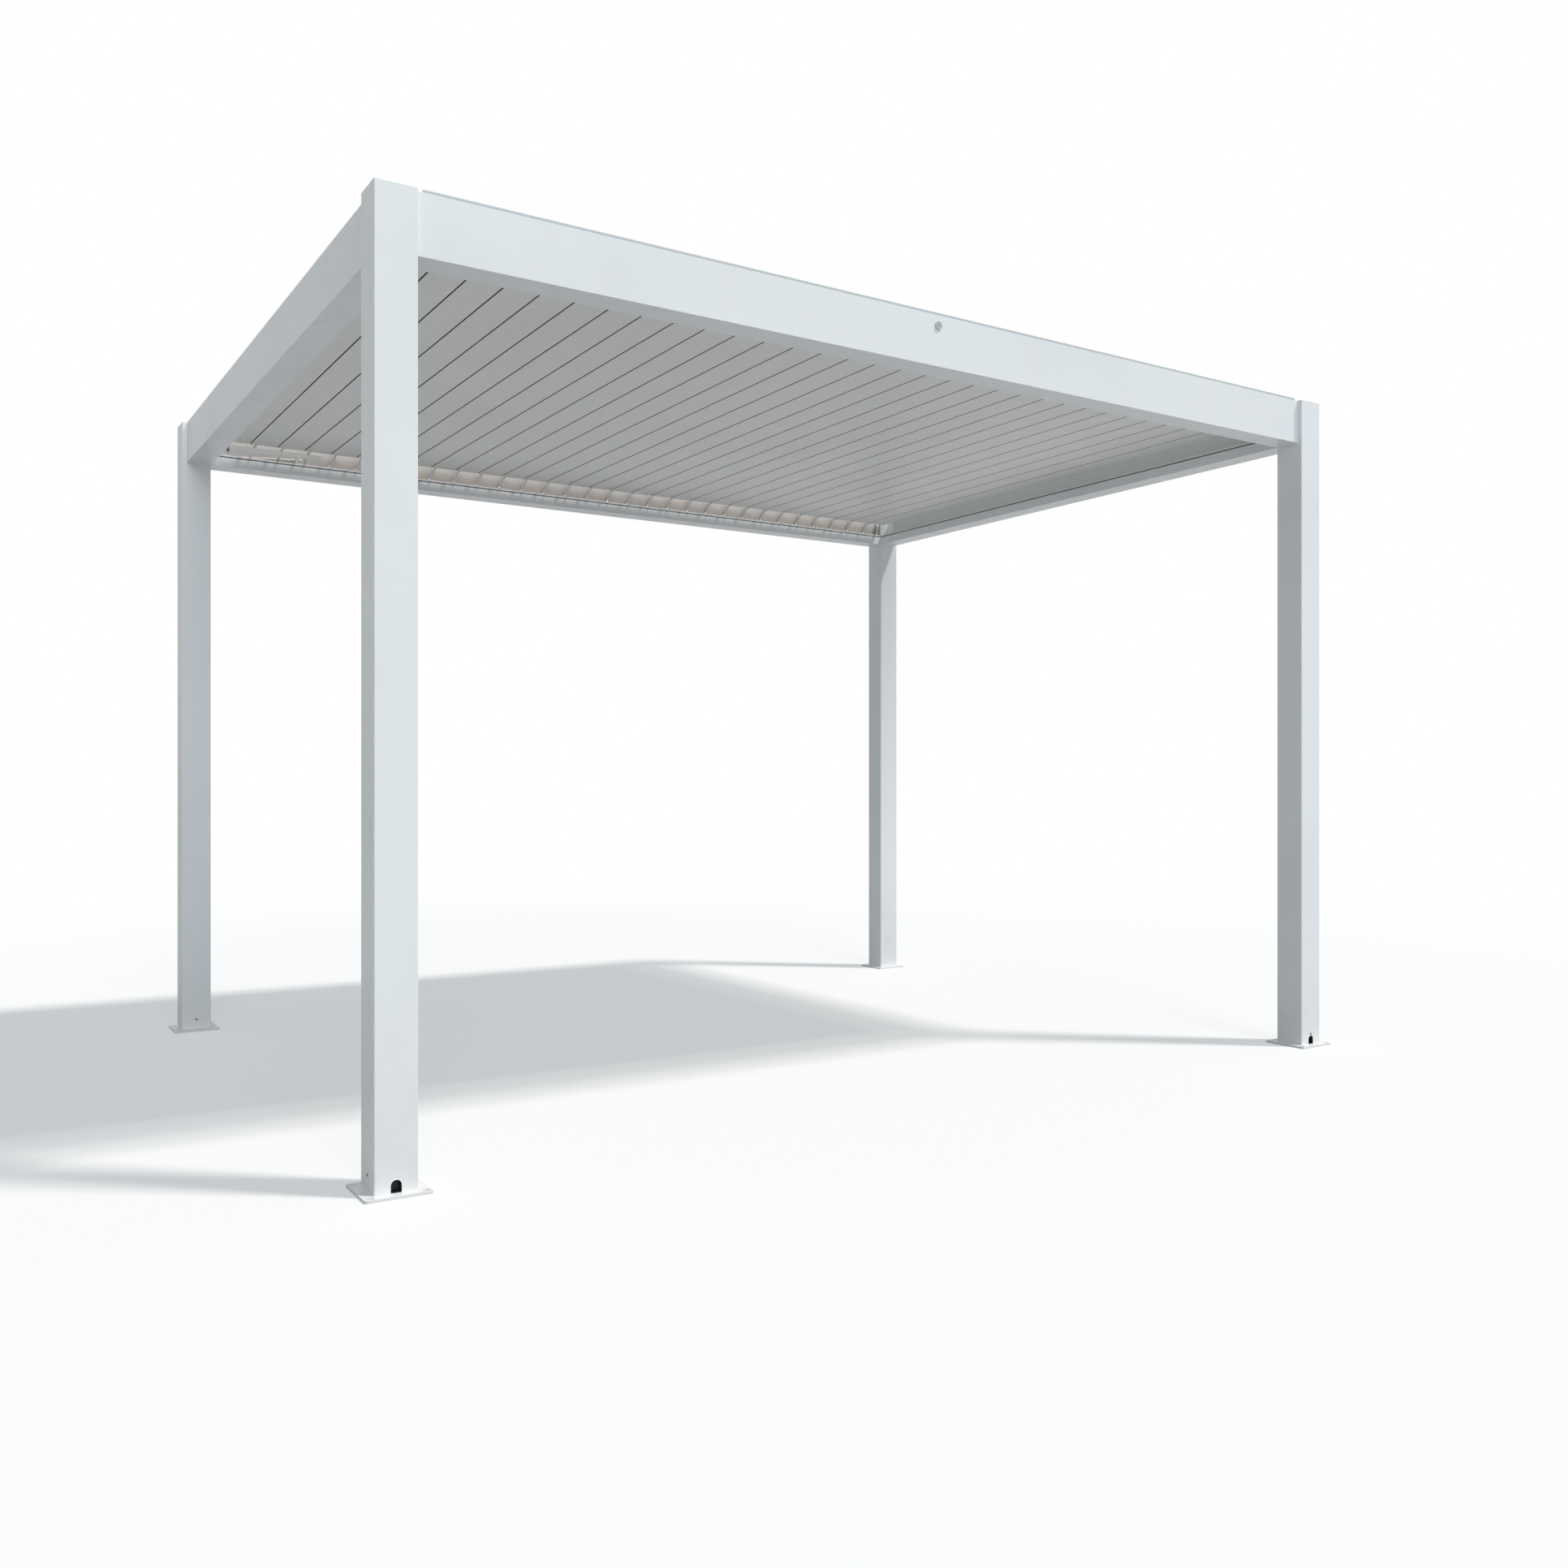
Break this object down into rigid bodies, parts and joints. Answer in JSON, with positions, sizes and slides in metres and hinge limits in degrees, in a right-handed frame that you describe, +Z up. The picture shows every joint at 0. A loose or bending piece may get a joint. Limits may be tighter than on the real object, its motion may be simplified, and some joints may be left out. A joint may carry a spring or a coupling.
{
  "type": "louvered pergola",
  "caption": "Open aluminium pergola with four square posts on bolted base plates, a ring of gutter beams and a roof of turning louvers moved by push bars and an actuator.",
  "frame": {"origin": "on the floor, in the middle of the plan of the four base plates", "axes": "+X along the front to the right, +Y to the back, +Z up"},
  "size_m": [4.066, 3.066, 2.709],
  "materials": {
    "white_powder_coat": "satin powder coat",
    "louver_white": "satin powder coat",
    "gutter_grey": "matt powder coat",
    "bright_fittings": "brushed",
    "actuator_grey": "satin anodised",
    "sensor_plastic": "matt",
    "black_rubber": "matt"
  },
  "bodies": {
    "frame": {"post_front_left": "white_powder_coat", "post_front_right": "white_powder_coat", "post_back_left": "white_powder_coat", "post_back_right": "white_powder_coat", "foot_front_left": "white_powder_coat", "foot_front_right": "white_powder_coat", "foot_back_left": "white_powder_coat", "foot_back_right": "white_powder_coat", "post_caps": "white_powder_coat", "beam_front": "white_powder_coat", "beam_back": "white_powder_coat", "beam_left": "white_powder_coat", "beam_right": "white_powder_coat", "front_top_trim": "white_powder_coat", "bearing_rail_back": "gutter_grey", "bearing_rail_front": "gutter_grey", "end_bracket": "bright_fittings", "actuator_bracket": "bright_fittings", "actuator_housing": "actuator_grey", "beam_sensor": "sensor_plastic", "cable_grommets": "black_rubber"},
    "louver_01": {"louver_01": "louver_white"},
    "louver_02": {"louver_02": "louver_white"},
    "louver_03": {"louver_03": "louver_white"},
    "louver_04": {"louver_04": "louver_white"},
    "louver_05": {"louver_05": "louver_white"},
    "louver_06": {"louver_06": "louver_white"},
    "louver_07": {"louver_07": "louver_white"},
    "louver_08": {"louver_08": "louver_white"},
    "louver_09": {"louver_09": "louver_white"},
    "louver_10": {"louver_10": "louver_white"},
    "louver_11": {"louver_11": "louver_white"},
    "louver_12": {"louver_12": "louver_white"},
    "louver_13": {"louver_13": "louver_white"},
    "louver_14": {"louver_14": "louver_white"},
    "louver_15": {"louver_15": "louver_white"},
    "louver_16": {"louver_16": "louver_white"},
    "louver_17": {"louver_17": "louver_white"},
    "louver_18": {"louver_18": "louver_white"},
    "louver_19": {"louver_19": "louver_white"},
    "louver_20": {"louver_20": "louver_white"},
    "louver_21": {"louver_21": "louver_white"},
    "louver_22": {"louver_22": "louver_white"},
    "louver_23": {"louver_23": "louver_white"},
    "louver_24": {"louver_24": "louver_white"},
    "louver_25": {"louver_25": "louver_white"},
    "louver_26": {"louver_26": "louver_white"},
    "louver_27": {"louver_27": "louver_white"},
    "louver_28": {"louver_28": "louver_white"},
    "louver_29": {"louver_29": "louver_white"},
    "louver_30": {"louver_30": "louver_white"},
    "louver_31": {"louver_31": "louver_white"},
    "push_bar_back": {"push_bar_back": "gutter_grey"},
    "push_bar_front": {"push_bar_front": "gutter_grey"},
    "actuator_rod": {"actuator_rod": "bright_fittings"}
  },
  "joints": [
    {"name": "louver_01_tilt", "type": "hinge", "parent": "frame", "child": "louver_01", "pos_m": [-1.8045, 0, 2.6405], "axis": [0, -1, 0], "range_deg": [0, 75]},
    {"name": "louver_02_tilt", "type": "hinge", "parent": "frame", "child": "louver_02", "pos_m": [-1.68476, 0, 2.6405], "axis": [0, -1, 0], "range_deg": [0, 75]},
    {"name": "louver_03_tilt", "type": "hinge", "parent": "frame", "child": "louver_03", "pos_m": [-1.56502, 0, 2.6405], "axis": [0, -1, 0], "range_deg": [0, 75]},
    {"name": "louver_04_tilt", "type": "hinge", "parent": "frame", "child": "louver_04", "pos_m": [-1.44527, 0, 2.6405], "axis": [0, -1, 0], "range_deg": [0, 75]},
    {"name": "louver_05_tilt", "type": "hinge", "parent": "frame", "child": "louver_05", "pos_m": [-1.32553, 0, 2.6405], "axis": [0, -1, 0], "range_deg": [0, 75]},
    {"name": "louver_06_tilt", "type": "hinge", "parent": "frame", "child": "louver_06", "pos_m": [-1.20579, 0, 2.6405], "axis": [0, -1, 0], "range_deg": [0, 75]},
    {"name": "louver_07_tilt", "type": "hinge", "parent": "frame", "child": "louver_07", "pos_m": [-1.08605, 0, 2.6405], "axis": [0, -1, 0], "range_deg": [0, 75]},
    {"name": "louver_08_tilt", "type": "hinge", "parent": "frame", "child": "louver_08", "pos_m": [-0.96631, 0, 2.6405], "axis": [0, -1, 0], "range_deg": [0, 75]},
    {"name": "louver_09_tilt", "type": "hinge", "parent": "frame", "child": "louver_09", "pos_m": [-0.84657, 0, 2.6405], "axis": [0, -1, 0], "range_deg": [0, 75]},
    {"name": "louver_10_tilt", "type": "hinge", "parent": "frame", "child": "louver_10", "pos_m": [-0.72682, 0, 2.6405], "axis": [0, -1, 0], "range_deg": [0, 75]},
    {"name": "louver_11_tilt", "type": "hinge", "parent": "frame", "child": "louver_11", "pos_m": [-0.60708, 0, 2.6405], "axis": [0, -1, 0], "range_deg": [0, 75]},
    {"name": "louver_12_tilt", "type": "hinge", "parent": "frame", "child": "louver_12", "pos_m": [-0.48734, 0, 2.6405], "axis": [0, -1, 0], "range_deg": [0, 75]},
    {"name": "louver_13_tilt", "type": "hinge", "parent": "frame", "child": "louver_13", "pos_m": [-0.3676, 0, 2.6405], "axis": [0, -1, 0], "range_deg": [0, 75]},
    {"name": "louver_14_tilt", "type": "hinge", "parent": "frame", "child": "louver_14", "pos_m": [-0.24785, 0, 2.6405], "axis": [0, -1, 0], "range_deg": [0, 75]},
    {"name": "louver_15_tilt", "type": "hinge", "parent": "frame", "child": "louver_15", "pos_m": [-0.12811, 0, 2.6405], "axis": [0, -1, 0], "range_deg": [0, 75]},
    {"name": "louver_16_tilt", "type": "hinge", "parent": "frame", "child": "louver_16", "pos_m": [-0.00837, 0, 2.6405], "axis": [0, -1, 0], "range_deg": [0, 75]},
    {"name": "louver_17_tilt", "type": "hinge", "parent": "frame", "child": "louver_17", "pos_m": [0.11137, 0, 2.6405], "axis": [0, -1, 0], "range_deg": [0, 75]},
    {"name": "louver_18_tilt", "type": "hinge", "parent": "frame", "child": "louver_18", "pos_m": [0.23111, 0, 2.6405], "axis": [0, -1, 0], "range_deg": [0, 75]},
    {"name": "louver_19_tilt", "type": "hinge", "parent": "frame", "child": "louver_19", "pos_m": [0.35085, 0, 2.6405], "axis": [0, -1, 0], "range_deg": [0, 75]},
    {"name": "louver_20_tilt", "type": "hinge", "parent": "frame", "child": "louver_20", "pos_m": [0.4706, 0, 2.6405], "axis": [0, -1, 0], "range_deg": [0, 75]},
    {"name": "louver_21_tilt", "type": "hinge", "parent": "frame", "child": "louver_21", "pos_m": [0.59034, 0, 2.6405], "axis": [0, -1, 0], "range_deg": [0, 75]},
    {"name": "louver_22_tilt", "type": "hinge", "parent": "frame", "child": "louver_22", "pos_m": [0.71008, 0, 2.6405], "axis": [0, -1, 0], "range_deg": [0, 75]},
    {"name": "louver_23_tilt", "type": "hinge", "parent": "frame", "child": "louver_23", "pos_m": [0.82982, 0, 2.6405], "axis": [0, -1, 0], "range_deg": [0, 75]},
    {"name": "louver_24_tilt", "type": "hinge", "parent": "frame", "child": "louver_24", "pos_m": [0.94956, 0, 2.6405], "axis": [0, -1, 0], "range_deg": [0, 75]},
    {"name": "louver_25_tilt", "type": "hinge", "parent": "frame", "child": "louver_25", "pos_m": [1.06931, 0, 2.6405], "axis": [0, -1, 0], "range_deg": [0, 75]},
    {"name": "louver_26_tilt", "type": "hinge", "parent": "frame", "child": "louver_26", "pos_m": [1.18905, 0, 2.6405], "axis": [0, -1, 0], "range_deg": [0, 75]},
    {"name": "louver_27_tilt", "type": "hinge", "parent": "frame", "child": "louver_27", "pos_m": [1.30879, 0, 2.6405], "axis": [0, -1, 0], "range_deg": [0, 75]},
    {"name": "louver_28_tilt", "type": "hinge", "parent": "frame", "child": "louver_28", "pos_m": [1.42853, 0, 2.6405], "axis": [0, -1, 0], "range_deg": [0, 75]},
    {"name": "louver_29_tilt", "type": "hinge", "parent": "frame", "child": "louver_29", "pos_m": [1.54827, 0, 2.6405], "axis": [0, -1, 0], "range_deg": [0, 75]},
    {"name": "louver_30_tilt", "type": "hinge", "parent": "frame", "child": "louver_30", "pos_m": [1.66802, 0, 2.6405], "axis": [0, -1, 0], "range_deg": [0, 75]},
    {"name": "louver_31_tilt", "type": "hinge", "parent": "frame", "child": "louver_31", "pos_m": [1.78776, 0, 2.6405], "axis": [0, -1, 0], "range_deg": [0, 75]},
    {"name": "push_bar_back_pin", "type": "hinge", "parent": "louver_05", "child": "push_bar_back", "pos_m": [-1.35053, 1.4035, 2.584], "axis": [0, -1, 0], "range_deg": [-75, 0]},
    {"name": "push_bar_front_pin", "type": "hinge", "parent": "louver_05", "child": "push_bar_front", "pos_m": [-1.35053, -1.4035, 2.584], "axis": [0, -1, 0], "range_deg": [-75, 0]},
    {"name": "actuator_rod_slide", "type": "slide", "parent": "frame", "child": "actuator_rod", "axis": [0.9972, 0, 0.075], "range_m": [0, 0.0757]}
  ],
  "couplings": [
    {"joint": "louver_01_tilt", "follows": "louver_05_tilt", "ratio": 1},
    {"joint": "louver_02_tilt", "follows": "louver_05_tilt", "ratio": 1},
    {"joint": "louver_03_tilt", "follows": "louver_05_tilt", "ratio": 1},
    {"joint": "louver_04_tilt", "follows": "louver_05_tilt", "ratio": 1},
    {"joint": "louver_06_tilt", "follows": "louver_05_tilt", "ratio": 1},
    {"joint": "louver_07_tilt", "follows": "louver_05_tilt", "ratio": 1},
    {"joint": "louver_08_tilt", "follows": "louver_05_tilt", "ratio": 1},
    {"joint": "louver_09_tilt", "follows": "louver_05_tilt", "ratio": 1},
    {"joint": "louver_10_tilt", "follows": "louver_05_tilt", "ratio": 1},
    {"joint": "louver_11_tilt", "follows": "louver_05_tilt", "ratio": 1},
    {"joint": "louver_12_tilt", "follows": "louver_05_tilt", "ratio": 1},
    {"joint": "louver_13_tilt", "follows": "louver_05_tilt", "ratio": 1},
    {"joint": "louver_14_tilt", "follows": "louver_05_tilt", "ratio": 1},
    {"joint": "louver_15_tilt", "follows": "louver_05_tilt", "ratio": 1},
    {"joint": "louver_16_tilt", "follows": "louver_05_tilt", "ratio": 1},
    {"joint": "louver_17_tilt", "follows": "louver_05_tilt", "ratio": 1},
    {"joint": "louver_18_tilt", "follows": "louver_05_tilt", "ratio": 1},
    {"joint": "louver_19_tilt", "follows": "louver_05_tilt", "ratio": 1},
    {"joint": "louver_20_tilt", "follows": "louver_05_tilt", "ratio": 1},
    {"joint": "louver_21_tilt", "follows": "louver_05_tilt", "ratio": 1},
    {"joint": "louver_22_tilt", "follows": "louver_05_tilt", "ratio": 1},
    {"joint": "louver_23_tilt", "follows": "louver_05_tilt", "ratio": 1},
    {"joint": "louver_24_tilt", "follows": "louver_05_tilt", "ratio": 1},
    {"joint": "louver_25_tilt", "follows": "louver_05_tilt", "ratio": 1},
    {"joint": "louver_26_tilt", "follows": "louver_05_tilt", "ratio": 1},
    {"joint": "louver_27_tilt", "follows": "louver_05_tilt", "ratio": 1},
    {"joint": "louver_28_tilt", "follows": "louver_05_tilt", "ratio": 1},
    {"joint": "louver_29_tilt", "follows": "louver_05_tilt", "ratio": 1},
    {"joint": "louver_30_tilt", "follows": "louver_05_tilt", "ratio": 1},
    {"joint": "louver_31_tilt", "follows": "louver_05_tilt", "ratio": 1},
    {"joint": "push_bar_back_pin", "follows": "louver_05_tilt", "ratio": -1},
    {"joint": "push_bar_front_pin", "follows": "louver_05_tilt", "ratio": -1},
    {"joint": "actuator_rod_slide", "follows": "louver_05_tilt", "m_per_rad": 0.05764}
  ]
}
